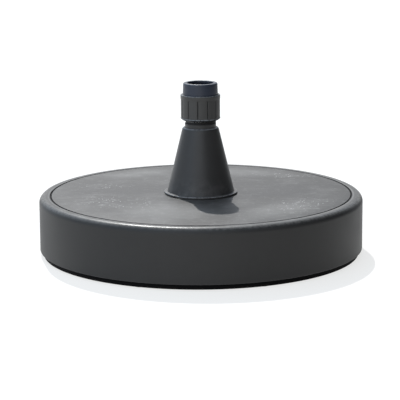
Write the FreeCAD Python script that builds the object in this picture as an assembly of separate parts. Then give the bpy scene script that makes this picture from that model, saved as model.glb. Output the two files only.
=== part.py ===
"""Round parasol base: a ballasted disc that carries a conical pole socket with a clamping nut.

Lengths are in millimetres. +Z is up, and the origin is on the ground at the disc's centre.
"""
import FreeCAD, Part
import math
import os

# ---- Driving dimensions ----

# Shell: the moulded cover of the disc
disc_radius = 250.0
disc_height = 93.0
shell_wall = 4.0
shell_edge_height = 9.2
shell_shoulder = 10.0
shell_edge_round = 0.8
groove_inset = 17.8
groove_width = 2.0
groove_depth = 1.0
step_inset = 70.0
step_run = 5.0
step_drop = 0.5
top_rib_count = 16
top_rib_depth = 5.0
rib_thickness = 3.0
weld_depth = 0.5

# Base plate: the black plate that closes the shell from below
plate_side_gap = 1.6
plate_web_height = 4.0
plate_thickness = 3.0
plate_rim_wall = 3.5
plate_rim_rise = 9.0
foot_ring_width = 24.0
plate_rib_count = 12
plate_rib_depth = 2.0
hub_wall = 4.0
hub_height = 14.0
drain_radius = 4.0

# Foot pads, which stand proud of the foot ring
pad_count = 8
pad_margin = 3.0
pad_stand = 1.2
pad_recess = 1.3
pad_edge = 0.4

# Screws that hold the plate to the shell's bosses
screw_count = 8
boss_radius = 6.0
screw_radius = 2.0
screw_length = 16.0
screw_tip = 2.5
screw_head_radius = 4.5
screw_head_height = 2.8
screw_head_sink = 0.4
screw_drive_length = 5.0
screw_drive_width = 1.0
screw_drive_depth = 1.4

# Ballast: the cast weight inside the shell
well_gap = 6.0

# Pole socket: the cone, its threaded neck, its inner tube and the skirt below the flange
pole_bore_radius = 19.75
tube_wall = 3.15
mouth_chamfer = 0.6
neck_plain_length = 6.0
neck_thread_length = 35.4
cone_length = 100.0
cone_base_radius = 51.7
cone_shoulder_width = 3.6
cone_shoulder_flat = 0.135
cone_foot_round = 1.2
cone_wall = 3.5
flange_ledge = 4.8
flange_thickness = 2.8
flange_round = 1.2
skirt_inset = 3.7
skirt_wall = 3.6
skirt_tail = 1.2
socket_web_count = 6
gasket_thickness = 0.8
gasket_inset = 2.0
pole_stop_height = 6.0
pole_stop_dish = 1.5

# Threads: the nut's on the neck, and the lock ring's on the skirt
thread_pitch = 4.0
thread_depth = 1.1
thread_flank_angle = 26.0
thread_flank_gap = 0.5
thread_clearance = 0.4

# Lock ring and washer that hold the flange down from below
washer_thickness = 2.0
washer_width = 12.0
lock_ring_height = 12.0
lock_ring_wall = 9.0
lock_notch_count = 8
lock_notch_width = 8.0
lock_notch_depth = 4.0
lock_notch_inset = 3.0

# Clamping nut
nut_turns_down = 2.0
nut_stop_gap = 3.4
nut_wall = 1.7
nut_band_height = 6.5
nut_band_step = 0.4
nut_bead_step = 0.4
nut_bead_height = 1.6
nut_foot_wall = 3.0
nut_foot_height = 2.0
nut_lip_thickness = 4.1
nut_edge_round = 0.8
flute_count = 12
flute_radius = 0.9
flute_start_angle = -98.0
flute_end_gap = 0.8

# Pressure collar: the nose that stands out of the nut and squeezes the collet
collar_wall = 2.5
collar_seat_height = 1.7
collar_rise = 18.0
collar_draft = 0.6
collar_edge_round = 2.2
collar_mouth_gap = 0.5
collar_mouth_length = 3.0
collar_mouth_step = 0.8
collar_flange_width = 1.5
collar_flange_height = 3.0
collar_throat_length = 7.0

# Collet: the slotted clamping sleeve that stands on the neck's rim
collet_bore_step = 0.22
collet_foot_height = 3.0
collet_head_gap = 1.0
collet_slit_count = 8
collet_slit_width = 1.4
collet_key_width = 5.0
collet_key_depth = 2.5
collet_key_reach = 1.9

# Named clearances
fit_gap = 0.1
curved_gap = 0.3
turning_gap = 0.2
casting_gap = 1.0

# ---- Derived sizes, shared by the pieces that meet ----

shell_inner = disc_radius - shell_wall
shell_underside = disc_height - shell_wall
shell_groove = disc_radius - groove_inset
step_radius = disc_radius - step_inset

plate_radius = shell_inner - plate_side_gap
plate_top = plate_web_height + plate_thickness
plate_rim_inner = plate_radius - plate_rim_wall
plate_rim_top = plate_top + plate_rim_rise
foot_ring_inner = plate_radius - foot_ring_width
pad_circle = plate_radius - foot_ring_width / 2
pad_radius = foot_ring_width / 2 - pad_margin
boss_circle = plate_rim_inner - casting_gap - boss_radius
screw_seat = pad_stand + screw_head_sink + screw_head_height

# The tube's outside is also the root of the neck's thread.
tube_radius = pole_bore_radius + tube_wall
tube_bottom = plate_top + pole_stop_height
neck_radius = tube_radius + thread_depth

flange_bottom = disc_height + gasket_thickness
flange_top = flange_bottom + flange_thickness
flange_radius = cone_base_radius + flange_ledge
cone_top = flange_top + cone_length
cone_top_radius = neck_radius + cone_shoulder_width
cone_slope = (cone_base_radius - cone_top_radius) / cone_length
# The shoulder's round takes up the shoulder's width, less the flat beside the neck.
cone_shoulder_turn = math.pi / 2 - math.atan(cone_slope)
cone_shoulder_round = (cone_shoulder_width - cone_shoulder_flat) / math.tan(cone_shoulder_turn / 2)
neck_thread_base = cone_top + neck_plain_length
neck_top = neck_thread_base + neck_thread_length

skirt_radius = cone_base_radius - skirt_inset
skirt_root_radius = skirt_radius - thread_depth
skirt_inner = skirt_root_radius - skirt_wall
shell_hole = skirt_radius + curved_gap
washer_bottom = shell_underside - washer_thickness
lock_ring_bottom = washer_bottom - lock_ring_height
skirt_bottom = lock_ring_bottom - skirt_tail
lock_ring_bore = skirt_radius + thread_clearance
lock_ring_radius = skirt_radius + lock_ring_wall
well_radius = max(lock_ring_radius, shell_hole + washer_width) + well_gap

ballast_top = shell_underside - top_rib_depth
ballast_radius = shell_inner - casting_gap
ballast_foot_radius = plate_rim_inner - casting_gap
ballast_step = plate_rim_top + casting_gap

collar_bottom = neck_top + collar_seat_height
collar_flange_top = collar_bottom + collar_flange_height
collar_throat_radius = neck_radius + thread_clearance + fit_gap
collar_throat_top = collar_bottom + collar_throat_length
collar_radius = collar_throat_radius + collar_wall
collar_flange_radius = collar_radius + collar_flange_width
collar_mouth_radius = pole_bore_radius + collar_mouth_gap
collar_cone_small = collar_mouth_radius + collar_mouth_step

nut_travel_down = nut_turns_down * thread_pitch
nut_bottom = cone_top + nut_travel_down + nut_stop_gap
nut_lip_bottom = collar_flange_top + turning_gap
nut_top = nut_lip_bottom + nut_lip_thickness
nut_pocket_bottom = collar_bottom - turning_gap
nut_pocket_radius = collar_flange_radius + curved_gap
nut_bore = neck_radius + thread_clearance
nut_band_radius = nut_pocket_radius + nut_wall
nut_grip_radius = nut_band_radius - nut_band_step
nut_grip_bottom = nut_bottom + nut_foot_height + nut_bead_height
nut_band_bottom = nut_top - nut_band_height

collar_top = nut_top + collar_rise
collar_cone_top = collar_top - collar_mouth_length
collet_bore = pole_bore_radius - collet_bore_step
collet_radius = tube_radius - fit_gap
collet_top = collar_cone_top - nut_travel_down - collet_head_gap

# A thread's ridge is as wide as half the pitch at mid depth, less its share of the gap.
thread_flank_run = thread_depth * math.tan(math.radians(thread_flank_angle))
thread_root_width = thread_pitch / 2 - thread_flank_gap + thread_flank_run
thread_crest_width = thread_root_width - 2 * thread_flank_run


def turns_within(low, high):
    """Turns of one ridge between two heights, to the half turn below."""
    return math.floor(2 * (high - low - thread_root_width) / thread_pitch) / 2


def start_between(partner_start, lowest):
    """The first height above a level that lies midway between the partner's ridges."""
    steps = math.ceil((lowest - partner_start) / thread_pitch - 0.5)
    return partner_start + (steps + 0.5) * thread_pitch


neck_thread_start = neck_thread_base + thread_root_width
neck_thread_turns = turns_within(neck_thread_start, neck_top)
# The nut's ridge stays above the plain neck where the nut is down.
nut_thread_low = max(nut_bottom, neck_thread_base + nut_travel_down) + thread_root_width
nut_thread_start = start_between(neck_thread_start, nut_thread_low)
nut_thread_turns = turns_within(nut_thread_start, nut_pocket_bottom)
skirt_thread_start = skirt_bottom + thread_root_width
skirt_thread_turns = turns_within(skirt_thread_start, shell_underside)
lock_thread_start = start_between(skirt_thread_start, lock_ring_bottom + thread_root_width)
lock_thread_turns = turns_within(lock_thread_start, washer_bottom)

ORIGIN = FreeCAD.Vector(0, 0, 0)
UP = FreeCAD.Vector(0, 0, 1)


# ---- Helpers ----

def turned(outline):
    """Turn a closed outline of (radius, height) points about the Z axis."""
    corners = [FreeCAD.Vector(radius, 0, height) for radius, height in outline]
    corners.append(corners[0])
    return Part.Face(Part.makePolygon(corners)).revolve(ORIGIN, UP, 360)


def ring(inner, outer, low, high):
    """A plain ring, or a disc where the inner radius is 0."""
    return turned([(inner, low), (outer, low), (outer, high), (inner, high)])


def rod(radius, low, high, distance=0.0):
    """An upright cylinder whose axis stands at a distance from the Z axis, along +X."""
    return Part.makeCylinder(radius, high - low, FreeCAD.Vector(distance, 0, low))


def bar(near, far, width, low, high):
    """A radial bar of constant width along +X."""
    return Part.makeBox(far - near, width, high - low, FreeCAD.Vector(near, -width / 2, low))


def spread(shape, count, start=0.0):
    """Copies of a shape at equal angles about the Z axis."""
    copies = []
    for index in range(count):
        copy = shape.copy()
        copy.rotate(ORIGIN, UP, start + index * 360.0 / count)
        copies.append(copy)
    return copies


def rounded(shape, radius, rims):
    """Round the circular edges that lie at the given (radius, height) places."""
    edges = []
    for edge in shape.Edges:
        if not isinstance(edge.Curve, Part.Circle):
            continue
        for rim_radius, height in rims:
            same_size = abs(edge.Curve.Radius - rim_radius) < 1e-4
            if same_size and abs(edge.Curve.Center.z - height) < 1e-4:
                edges.append(edge)
    return shape.makeFillet(radius, edges)


def thread_ridge(wall_radius, crest_radius, start, turns):
    """One right-hand helical ridge, sunk into its wall and tapered to its crest.

    The wall is inside the crest on an outer thread and outside it on an inner one.
    """
    outward = math.copysign(1.0, crest_radius - wall_radius)
    foot_radius = wall_radius - outward * curved_gap
    helix = Part.makeHelix(thread_pitch, turns * thread_pitch, foot_radius)
    helix.translate(UP * start)
    foot_half = thread_root_width / 2 + thread_flank_run * curved_gap / thread_depth
    crest_half = thread_crest_width / 2
    corners = [
        FreeCAD.Vector(foot_radius, 0, start - foot_half),
        FreeCAD.Vector(crest_radius, 0, start - crest_half),
        FreeCAD.Vector(crest_radius, 0, start + crest_half),
        FreeCAD.Vector(foot_radius, 0, start + foot_half),
    ]
    corners.append(corners[0])
    section = Part.Wire(Part.makePolygon(corners))
    return Part.Wire(helix.Edges).makePipeShell([section], True, True)


# ---- The disc ----

def top_shell():
    """Cover with a rounded shoulder, a ring groove, ribs and a screw boss at each screw."""
    outer = turned([
        (0, shell_edge_height),
        (disc_radius, shell_edge_height),
        (disc_radius, disc_height - step_drop),
        (step_radius + step_run, disc_height - step_drop),
        (step_radius, disc_height),
        (0, disc_height),
    ])
    outer = rounded(outer, shell_shoulder, [(disc_radius, disc_height - step_drop)])
    outer = rounded(outer, shell_edge_round, [(disc_radius, shell_edge_height)])
    inside = turned([
        (0, shell_edge_height),
        (shell_inner, shell_edge_height),
        (shell_inner, shell_underside),
        (0, shell_underside),
    ])
    inside = rounded(inside, shell_shoulder - shell_wall, [(shell_inner, shell_underside)])
    half_groove = groove_width / 2
    groove_floor = disc_height - step_drop - groove_depth
    groove = ring(shell_groove - half_groove, shell_groove + half_groove, groove_floor, disc_height)
    shell = outer.cut([inside, groove, rod(shell_hole, 0, disc_height)])

    weld_radius = shell_inner + weld_depth
    weld_height = shell_underside + weld_depth
    rib = bar(well_radius, weld_radius, rib_thickness, ballast_top, weld_height)
    boss = rod(boss_radius, plate_top, weld_height, boss_circle)
    boss_web = bar(boss_circle, weld_radius, rib_thickness, ballast_step, weld_height)
    pilot = rod(screw_radius + fit_gap / 2, plate_top, screw_seat + screw_length + screw_tip,
                boss_circle)
    added = spread(rib, top_rib_count, 360.0 / top_rib_count / 2)
    added += spread(boss, screw_count)
    added += spread(boss_web, screw_count)
    return shell.fuse(added).cut(spread(pilot, screw_count)).removeSplitter()


def base_plate():
    """Plate with a foot ring, an upstanding rim inside the shell and a hub for the tube."""
    hub_inner = tube_radius + curved_gap
    hub_outer = hub_inner + hub_wall
    rib_bottom = plate_web_height - plate_rib_depth
    plate = turned([
        (0, plate_web_height),
        (hub_inner, plate_web_height),
        (hub_inner, rib_bottom),
        (hub_outer, rib_bottom),
        (hub_outer, plate_web_height),
        (foot_ring_inner, plate_web_height),
        (foot_ring_inner, pad_stand),
        (plate_radius, pad_stand),
        (plate_radius, plate_rim_top),
        (plate_rim_inner, plate_rim_top),
        (plate_rim_inner, plate_top),
        (hub_outer, plate_top),
        (hub_outer, plate_top + hub_height),
        (hub_inner, plate_top + hub_height),
        (hub_inner, plate_top),
        (0, plate_top),
    ])
    rib = bar(hub_outer - weld_depth, foot_ring_inner + weld_depth, rib_thickness, rib_bottom,
              plate_web_height + weld_depth)
    plate = plate.fuse(spread(rib, plate_rib_count))

    pad_offset = 360.0 / pad_count / 2
    pad_seat = rod(pad_radius + fit_gap, 0, pad_stand + pad_recess, pad_circle)
    head_hole = rod(screw_head_radius + curved_gap, 0, screw_seat, boss_circle)
    shank_hole = rod(screw_radius + curved_gap, 0, plate_top, boss_circle)
    drain = rod(drain_radius, 0, plate_top)
    cuts = spread(pad_seat, pad_count, pad_offset)
    cuts += spread(head_hole, screw_count)
    cuts += spread(shank_hole, screw_count)
    return plate.cut(cuts + [drain])


def ballast():
    """Cast weight around the central well, relieved around the bosses and their webs."""
    casting = turned([
        (well_radius, plate_top),
        (ballast_foot_radius, plate_top),
        (ballast_foot_radius, ballast_step),
        (ballast_radius, ballast_step),
        (ballast_radius, ballast_top),
        (well_radius, ballast_top),
    ])
    boss_hole = rod(boss_radius + casting_gap, plate_top, ballast_top, boss_circle)
    slot_width = rib_thickness + 2 * casting_gap
    web_slot = bar(boss_circle, disc_radius, slot_width, plate_top, ballast_top)
    return casting.cut(spread(boss_hole, screw_count) + spread(web_slot, screw_count))


def foot_pad(index):
    """One rubber pad, seated in its recess under the foot ring."""
    pad = rod(pad_radius, 0, pad_stand + pad_recess, pad_circle)
    lower_edges = [edge for edge in pad.Edges if edge.BoundBox.ZMax < pad_edge]
    pad = pad.makeFillet(pad_edge, lower_edges)
    pad.rotate(ORIGIN, UP, (index + 0.5) * 360.0 / pad_count)
    return pad


def plate_screws():
    """All the plate's screws, as one group of separate solids."""
    head_bottom = screw_seat - screw_head_height
    head = rod(screw_head_radius, head_bottom, screw_seat, boss_circle)
    shank = rod(screw_radius, screw_seat, screw_seat + screw_length - screw_tip, boss_circle)
    tip = Part.makeCone(screw_radius, screw_radius / 4, screw_tip,
                        FreeCAD.Vector(boss_circle, 0, screw_seat + screw_length - screw_tip))
    half_drive = screw_drive_length / 2
    slot = bar(boss_circle - half_drive, boss_circle + half_drive, screw_drive_width,
               head_bottom, head_bottom + screw_drive_depth)
    cross_slot = slot.copy()
    cross_slot.rotate(FreeCAD.Vector(boss_circle, 0, 0), UP, 90)
    screw = head.fuse([shank, tip]).cut([slot, cross_slot]).removeSplitter()
    return Part.makeCompound(spread(screw, screw_count))


# ---- The pole socket ----

def socket_cone():
    """Cone with its flange, threaded neck, inner tube, webs and threaded skirt."""
    outer = turned([
        (0, tube_bottom),
        (tube_radius, tube_bottom),
        (tube_radius, skirt_bottom),
        (skirt_root_radius, skirt_bottom),
        (skirt_root_radius, flange_bottom),
        (flange_radius, flange_bottom),
        (flange_radius, flange_top),
        (cone_base_radius, flange_top),
        (cone_top_radius, cone_top),
        (neck_radius, cone_top),
        (neck_radius, neck_thread_base),
        (tube_radius, neck_thread_base),
        (tube_radius, neck_top),
        (0, neck_top),
    ])
    outer = rounded(outer, cone_shoulder_round, [(cone_top_radius, cone_top)])
    outer = rounded(outer, flange_round, [(flange_radius, flange_top)])
    outer = rounded(outer, cone_foot_round, [(cone_base_radius, flange_top)])

    cavity_top = cone_top - 2 * cone_wall
    cavity_top_radius = cone_top_radius + cone_slope * (cone_top - cavity_top) - cone_wall
    cavity_knee = cavity_top - (skirt_inner - cavity_top_radius) / cone_slope
    cavity = turned([
        (tube_radius, skirt_bottom),
        (skirt_inner, skirt_bottom),
        (skirt_inner, cavity_knee),
        (cavity_top_radius, cavity_top),
        (tube_radius, cavity_top),
    ])
    web = bar(0, skirt_radius, rib_thickness, skirt_bottom, cone_top)
    cavity = cavity.cut(spread(web, socket_web_count))

    neck_ridge = thread_ridge(tube_radius, neck_radius, neck_thread_start, neck_thread_turns)
    skirt_ridge = thread_ridge(skirt_root_radius, skirt_radius, skirt_thread_start,
                               skirt_thread_turns)
    bore = rod(pole_bore_radius, 0, neck_top)
    slot_reach = pole_bore_radius + collet_key_reach + fit_gap
    slot_bottom = neck_top - collet_key_depth - fit_gap
    key_slot = bar(0, slot_reach, collet_key_width + 2 * fit_gap, slot_bottom, neck_top)
    socket = outer.fuse([neck_ridge, skirt_ridge])
    return socket.cut([cavity, bore] + spread(key_slot, 2))


def flange_gasket():
    """Rubber ring between the cone's flange and the shell."""
    return ring(shell_hole, flange_radius - gasket_inset, disc_height, flange_bottom)


def lock_washer():
    """Plain washer under the shell's top."""
    return ring(shell_hole, shell_hole + washer_width, washer_bottom, shell_underside)


def lock_ring():
    """Ring nut on the skirt's thread, with notches for a pin spanner."""
    body = ring(lock_ring_bore, lock_ring_radius, lock_ring_bottom, washer_bottom)
    crest = skirt_root_radius + thread_clearance
    ridge = thread_ridge(lock_ring_bore, crest, lock_thread_start, lock_thread_turns)
    notch_top = lock_ring_bottom + lock_notch_depth
    notch = bar(lock_ring_bore + lock_notch_inset, well_radius, lock_notch_width,
                lock_ring_bottom, notch_top)
    return body.fuse(ridge).cut(spread(notch, lock_notch_count))


def pole_stop():
    """Dished disc that the pole stands on, with a drain hole."""
    dish = Part.makeCone(drain_radius, pole_bore_radius, pole_stop_dish,
                         FreeCAD.Vector(0, 0, tube_bottom - pole_stop_dish))
    disc = rod(tube_radius, plate_top, tube_bottom)
    return disc.cut([dish, rod(drain_radius, plate_top, tube_bottom)])


# ---- The clamp ----

def clamping_nut():
    """Fluted nut with an inner thread and a pocket that traps the collar's flange."""
    bead_radius = nut_grip_radius + nut_bead_step
    outer = turned([
        (0, nut_bottom),
        (nut_bore + nut_foot_wall, nut_bottom),
        (bead_radius, nut_bottom + nut_foot_height),
        (bead_radius, nut_grip_bottom),
        (nut_grip_radius, nut_grip_bottom),
        (nut_grip_radius, nut_band_bottom),
        (nut_band_radius, nut_band_bottom),
        (nut_band_radius, nut_top),
        (0, nut_top),
    ])
    outer = rounded(outer, nut_edge_round, [(nut_band_radius, nut_top)])
    flute = rod(flute_radius, nut_grip_bottom + flute_end_gap, nut_band_bottom - flute_end_gap,
                nut_grip_radius)
    bore = rod(nut_bore, nut_bottom, nut_top)
    pocket = rod(nut_pocket_radius, nut_pocket_bottom, nut_lip_bottom)
    lip_hole = rod(collar_radius + curved_gap, nut_lip_bottom, nut_top)
    cuts = [bore, pocket, lip_hole] + spread(flute, flute_count, flute_start_angle)
    crest = tube_radius + thread_clearance
    ridge = thread_ridge(nut_bore, crest, nut_thread_start, nut_thread_turns)
    return outer.cut(cuts).fuse(ridge)


def pressure_collar():
    """Nose that the nut pushes down without turning it, with the cone that closes the collet."""
    outer = turned([
        (0, collar_bottom),
        (collar_flange_radius, collar_bottom),
        (collar_flange_radius, collar_flange_top),
        (collar_radius, collar_flange_top),
        (collar_radius, nut_top),
        (collar_radius - collar_draft, collar_top),
        (0, collar_top),
    ])
    outer = rounded(outer, collar_edge_round, [(collar_radius - collar_draft, collar_top)])
    inside = turned([
        (0, collar_bottom),
        (collar_throat_radius, collar_bottom),
        (collar_throat_radius, collar_throat_top),
        (collar_cone_small, collar_cone_top),
        (collar_mouth_radius, collar_cone_top),
        (collar_mouth_radius, collar_top - mouth_chamfer),
        (collar_mouth_radius + mouth_chamfer, collar_top),
        (0, collar_top),
    ])
    return outer.cut(inside)


def collet():
    """Sleeve with tapered fingers, and two keys that sit in the neck's slots.

    The taper follows the collar's cone where the nut is down, with a gap between the two.
    """
    slope = (collar_throat_radius - collar_cone_small) / (collar_cone_top - collar_throat_top)
    cone_low = collar_throat_top - nut_travel_down
    taper_low = cone_low + (collar_throat_radius - curved_gap - collet_radius) / slope
    taper_top_radius = collar_throat_radius - slope * (collet_top - cone_low) - curved_gap
    sleeve = turned([
        (collet_bore, neck_top),
        (collet_radius, neck_top),
        (collet_radius, taper_low),
        (taper_top_radius, collet_top),
        (collet_bore, collet_top),
    ])
    foot_top = neck_top + collet_foot_height
    key = bar(0, pole_bore_radius + collet_key_reach, collet_key_width,
              neck_top - collet_key_depth, foot_top)
    passage = rod(collet_bore, 0, collet_top)
    keys = [each.cut(passage) for each in spread(key, 2)]
    slit = bar(0, collar_throat_radius, collet_slit_width, foot_top, collet_top)
    slits = spread(slit, collet_slit_count, 360.0 / collet_slit_count / 2)
    return sleeve.fuse(keys).cut(slits).removeSplitter()


# ---- Export ----

def build():
    """Every piece by its node's name."""
    pieces = {
        "top_shell": top_shell(),
        "base_plate": base_plate(),
        "ballast": ballast(),
        "plate_screws": plate_screws(),
        "socket_cone": socket_cone(),
        "flange_gasket": flange_gasket(),
        "lock_washer": lock_washer(),
        "lock_ring": lock_ring(),
        "pole_stop": pole_stop(),
        "collet": collet(),
        "pressure_collar": pressure_collar(),
        "clamping_nut": clamping_nut(),
    }
    for index in range(pad_count):
        pieces["foot_pad_%d" % (index + 1)] = foot_pad(index)
    return pieces


os.makedirs("parts", exist_ok=True)
for name, shape in build().items():
    shape.exportStep("parts/%s.step" % name)
    print("%-16s solids %2d  volume %.0f  valid %s" % (name, len(shape.Solids), shape.Volume,
                                                      shape.isValid()))
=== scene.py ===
import math

import bmesh
import bpy
from mathutils import Matrix, Vector


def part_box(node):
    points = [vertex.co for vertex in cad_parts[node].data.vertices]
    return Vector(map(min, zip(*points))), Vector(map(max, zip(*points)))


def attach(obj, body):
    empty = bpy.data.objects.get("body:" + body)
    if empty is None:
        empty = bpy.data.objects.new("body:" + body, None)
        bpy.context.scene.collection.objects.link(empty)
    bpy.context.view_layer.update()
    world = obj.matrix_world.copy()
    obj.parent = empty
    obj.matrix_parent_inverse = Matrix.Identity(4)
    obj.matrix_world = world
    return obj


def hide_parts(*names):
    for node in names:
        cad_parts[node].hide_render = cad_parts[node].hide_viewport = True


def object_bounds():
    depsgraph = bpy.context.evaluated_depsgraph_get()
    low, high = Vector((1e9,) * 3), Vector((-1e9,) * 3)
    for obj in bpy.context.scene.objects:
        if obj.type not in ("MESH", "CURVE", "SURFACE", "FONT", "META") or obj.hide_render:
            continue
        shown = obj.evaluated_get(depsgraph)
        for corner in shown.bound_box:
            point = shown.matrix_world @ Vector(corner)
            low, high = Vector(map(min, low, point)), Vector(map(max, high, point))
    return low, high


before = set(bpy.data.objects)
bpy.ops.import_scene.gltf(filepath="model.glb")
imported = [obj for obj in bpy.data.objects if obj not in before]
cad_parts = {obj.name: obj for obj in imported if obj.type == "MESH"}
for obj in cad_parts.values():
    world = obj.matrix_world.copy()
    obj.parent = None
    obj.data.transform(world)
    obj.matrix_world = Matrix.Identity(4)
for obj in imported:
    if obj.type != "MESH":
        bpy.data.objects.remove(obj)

cad_low, cad_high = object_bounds()


# ---- Camera, floor and light ----
# The base is seen from the front and a little above, from far enough back that its disc
# hardly tapers. It stands on a pale floor. Bright light comes over it from behind, rakes the
# disc and lays the neck's shadow forward across it, and the room fills the front softly.

disc_middle = (cad_low + cad_high) / 2
view_distance = 2.8045
view_height = 0.6688
view_aside = -0.0015
view_down = math.radians(11.833)
view_roll = math.radians(-0.35)
view_lens = 166.2
floor_reach = 30.0
floor_tone = (0.30, 0.30, 0.295, 1)
floor_glow_tone = (1, 1, 0.99, 1)
floor_glow = 0.72
low_light = (1.0, 0.985, 0.96, 1)
high_light = (0.78, 0.87, 1.0, 1)
open_sky_light = (0.58, 0.77, 1.0, 1)
sun_from = Vector((-0.133, 0.615, 0.777))
sun_strength = 3.0
sun_spread = math.radians(0.7)

camera = bpy.data.objects.new("camera", bpy.data.cameras.new("camera"))
camera.data.sensor_width = 36.0
camera.data.lens = view_lens
camera.data.clip_end = 100.0
camera.location = (disc_middle.x + view_aside, disc_middle.y - view_distance, view_height)
tilted = Matrix.Rotation(math.pi / 2 - view_down, 3, "X") @ Matrix.Rotation(view_roll, 3, "Z")
camera.rotation_euler = tilted.to_euler()
bpy.context.scene.collection.objects.link(camera)
bpy.context.scene.camera = camera
bpy.context.scene.view_settings.view_transform = "Standard"


def feed(tree, socket, value):
    """Link what varies to a socket, or set a constant on it."""
    if isinstance(value, bpy.types.NodeSocket):
        tree.links.new(value, socket)
    else:
        socket.default_value = value


def node(tree, kind, inputs=None, **settings):
    """Add a node, set its properties, then feed its inputs by name or number."""
    made = tree.nodes.new(kind)
    for key, value in settings.items():
        setattr(made, key, value)
    for key, value in (inputs or {}).items():
        feed(tree, made.inputs[key], value)
    return made


def maths(tree, operation, *values):
    """A Math node's result."""
    return node(tree, "ShaderNodeMath", dict(enumerate(values)), operation=operation).outputs[0]


def summed(tree, value, *terms):
    """A value with terms added to it in turn. A term is a mask and its weight."""
    for mask, weight in terms:
        value = maths(tree, "MULTIPLY_ADD", mask, weight, value)
    return value


def remap(tree, value, low, high, to_low=0.0, to_high=1.0, kind="SMOOTHSTEP"):
    """A value's range brought to another range and held within it."""
    return node(tree, "ShaderNodeMapRange", {0: value, 1: low, 2: high, 3: to_low, 4: to_high},
                interpolation_type=kind).outputs[0]


def blended(tree, share, first, second):
    """Two colours mixed by a share."""
    return node(tree, "ShaderNodeMix", {0: share, 6: first, 7: second}, data_type="RGBA").outputs[2]


def new_material(name):
    """A material with its node tree and its Principled shader."""
    material = bpy.data.materials.new(name)
    material.use_nodes = True
    return material, material.node_tree, material.node_tree.nodes["Principled BSDF"]


def place_on(tree):
    """The place on the piece, in metres, in the object's own frame."""
    return node(tree, "ShaderNodeTexCoord").outputs["Object"]


floor_mesh = bpy.data.meshes.new("floor")
floor_mesh.from_pydata([(-floor_reach, -floor_reach, 0), (floor_reach, -floor_reach, 0),
                        (floor_reach, floor_reach, 0), (-floor_reach, floor_reach, 0)],
                       [], [(0, 1, 2, 3)])
floor = bpy.data.objects.new("floor", floor_mesh)
bpy.context.scene.collection.objects.link(floor)

# The floor glows for the eye and in mirror images only, so that it doesn't light the base from
# below. Its mirror image is dimmer on the right, because the room is dim there.
floor_material, tree, shader = new_material("pale_floor")
path = node(tree, "ShaderNodeLightPath")
rightward = node(tree, "ShaderNodeSeparateXYZ", {0: place_on(tree)}).outputs[0]
mirrored = maths(tree, "MULTIPLY", path.outputs["Is Glossy Ray"],
                 remap(tree, rightward, 0.45, 1.0, 1.0, 0.15))
seen = maths(tree, "MAXIMUM", path.outputs["Is Camera Ray"], path.outputs["Is Transmission Ray"])
seen = maths(tree, "MAXIMUM", seen, mirrored)
shader.inputs["Base Color"].default_value = floor_tone
shader.inputs["Roughness"].default_value = 0.9
shader.inputs["Specular IOR Level"].default_value = 0.1
shader.inputs["Emission Color"].default_value = floor_glow_tone
tree.links.new(maths(tree, "MULTIPLY", seen, floor_glow), shader.inputs["Emission Strength"])
floor_mesh.materials.append(floor_material)

# The room is warm low down, cooler high up and at the sides, and bluest where the open sky
# shows at both sides. It is brightest in front and dim on the right, but for a gap behind.
world = bpy.data.worlds.new("room")
bpy.context.scene.world = world
world.use_nodes = True
tree = world.node_tree
heading = node(tree, "ShaderNodeTexCoord").outputs["Generated"]
aside, away, above = node(tree, "ShaderNodeSeparateXYZ", {0: heading}).outputs
sideways = remap(tree, maths(tree, "ABSOLUTE", aside), 0.25, 0.75, 0.0, 0.9)
cool = maths(tree, "MAXIMUM", remap(tree, above, 0.10, 0.45), sideways)
open_sky = maths(tree, "MULTIPLY", sideways, remap(tree, above, 0.05, 0.35))
tone = blended(tree, cool, low_light, high_light)
tone = blended(tree, open_sky, tone, open_sky_light)
front = remap(tree, away, -0.2, -0.75, 0.46, 1.05)
back = remap(tree, away, 0.45, 0.9, 0.0, 0.50)
left = remap(tree, aside, -0.10, -0.7, 0.0, 0.18)
overhead = remap(tree, above, 0.30, 0.80, 0.0, 0.45)
level = summed(tree, front, (back, 1.0), (left, 1.0), (overhead, 1.0))
behind = remap(tree, away, 0.65, 0.96)
dim = maths(tree, "MULTIPLY", remap(tree, aside, 0.02, 0.42), summed(tree, 1.0, (behind, -1.0)))
level = maths(tree, "MULTIPLY", level, summed(tree, 1.0, (dim, -0.94)))
tree.links.new(tone, tree.nodes["Background"].inputs["Color"])
tree.links.new(level, tree.nodes["Background"].inputs["Strength"])

sun = bpy.data.objects.new("sun", bpy.data.lights.new("sun", "SUN"))
sun.data.energy = sun_strength
sun.data.color = low_light[:3]
sun.data.angle = sun_spread
sun.rotation_euler = sun_from.to_track_quat("Z", "Y").to_euler()
bpy.context.scene.collection.objects.link(sun)


# ---- Top shell ----
# The cover of the disc: one injection moulding in charcoal polypropylene with a fine eroded
# grain, a rounded shoulder, a ring groove and a soft step. Ribs and screw bosses are moulded
# inside it. The top lies in the weather, so it has a film of dust and a worn shoulder. Pale
# lines along the shoulder, the lower edge and beside the groove are painted highlights.

shell_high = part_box("top_shell")[1]
shell_radius = shell_high.x
shell_wall = 0.004
shell_edge = 0.0092
shoulder_round = 0.010
lower_round = 0.0008
hole_radius = 0.0483
groove_radius = 0.2322
groove_half = 0.001
groove_depth = 0.001
groove_round = 0.0003
lip_offset = 0.0034
panel_hold = 0.0005
wall_hold = 0.001
step_start = 0.180
step_run = 0.005
step_drop = 0.0005
shell_segments = 288
rib_count = 16
rib_width = 0.003
rib_depth = 0.005
rib_inner = 0.0663
weld = 0.0005
boss_count = 8
boss_circle = 0.2339
boss_radius = 0.006
boss_low = 0.007
boss_segments = 24
pilot_radius = 0.00205
pilot_high = 0.0229
web_low = 0.017
near_axis = 0.0001
merge_distance = 1e-6

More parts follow.
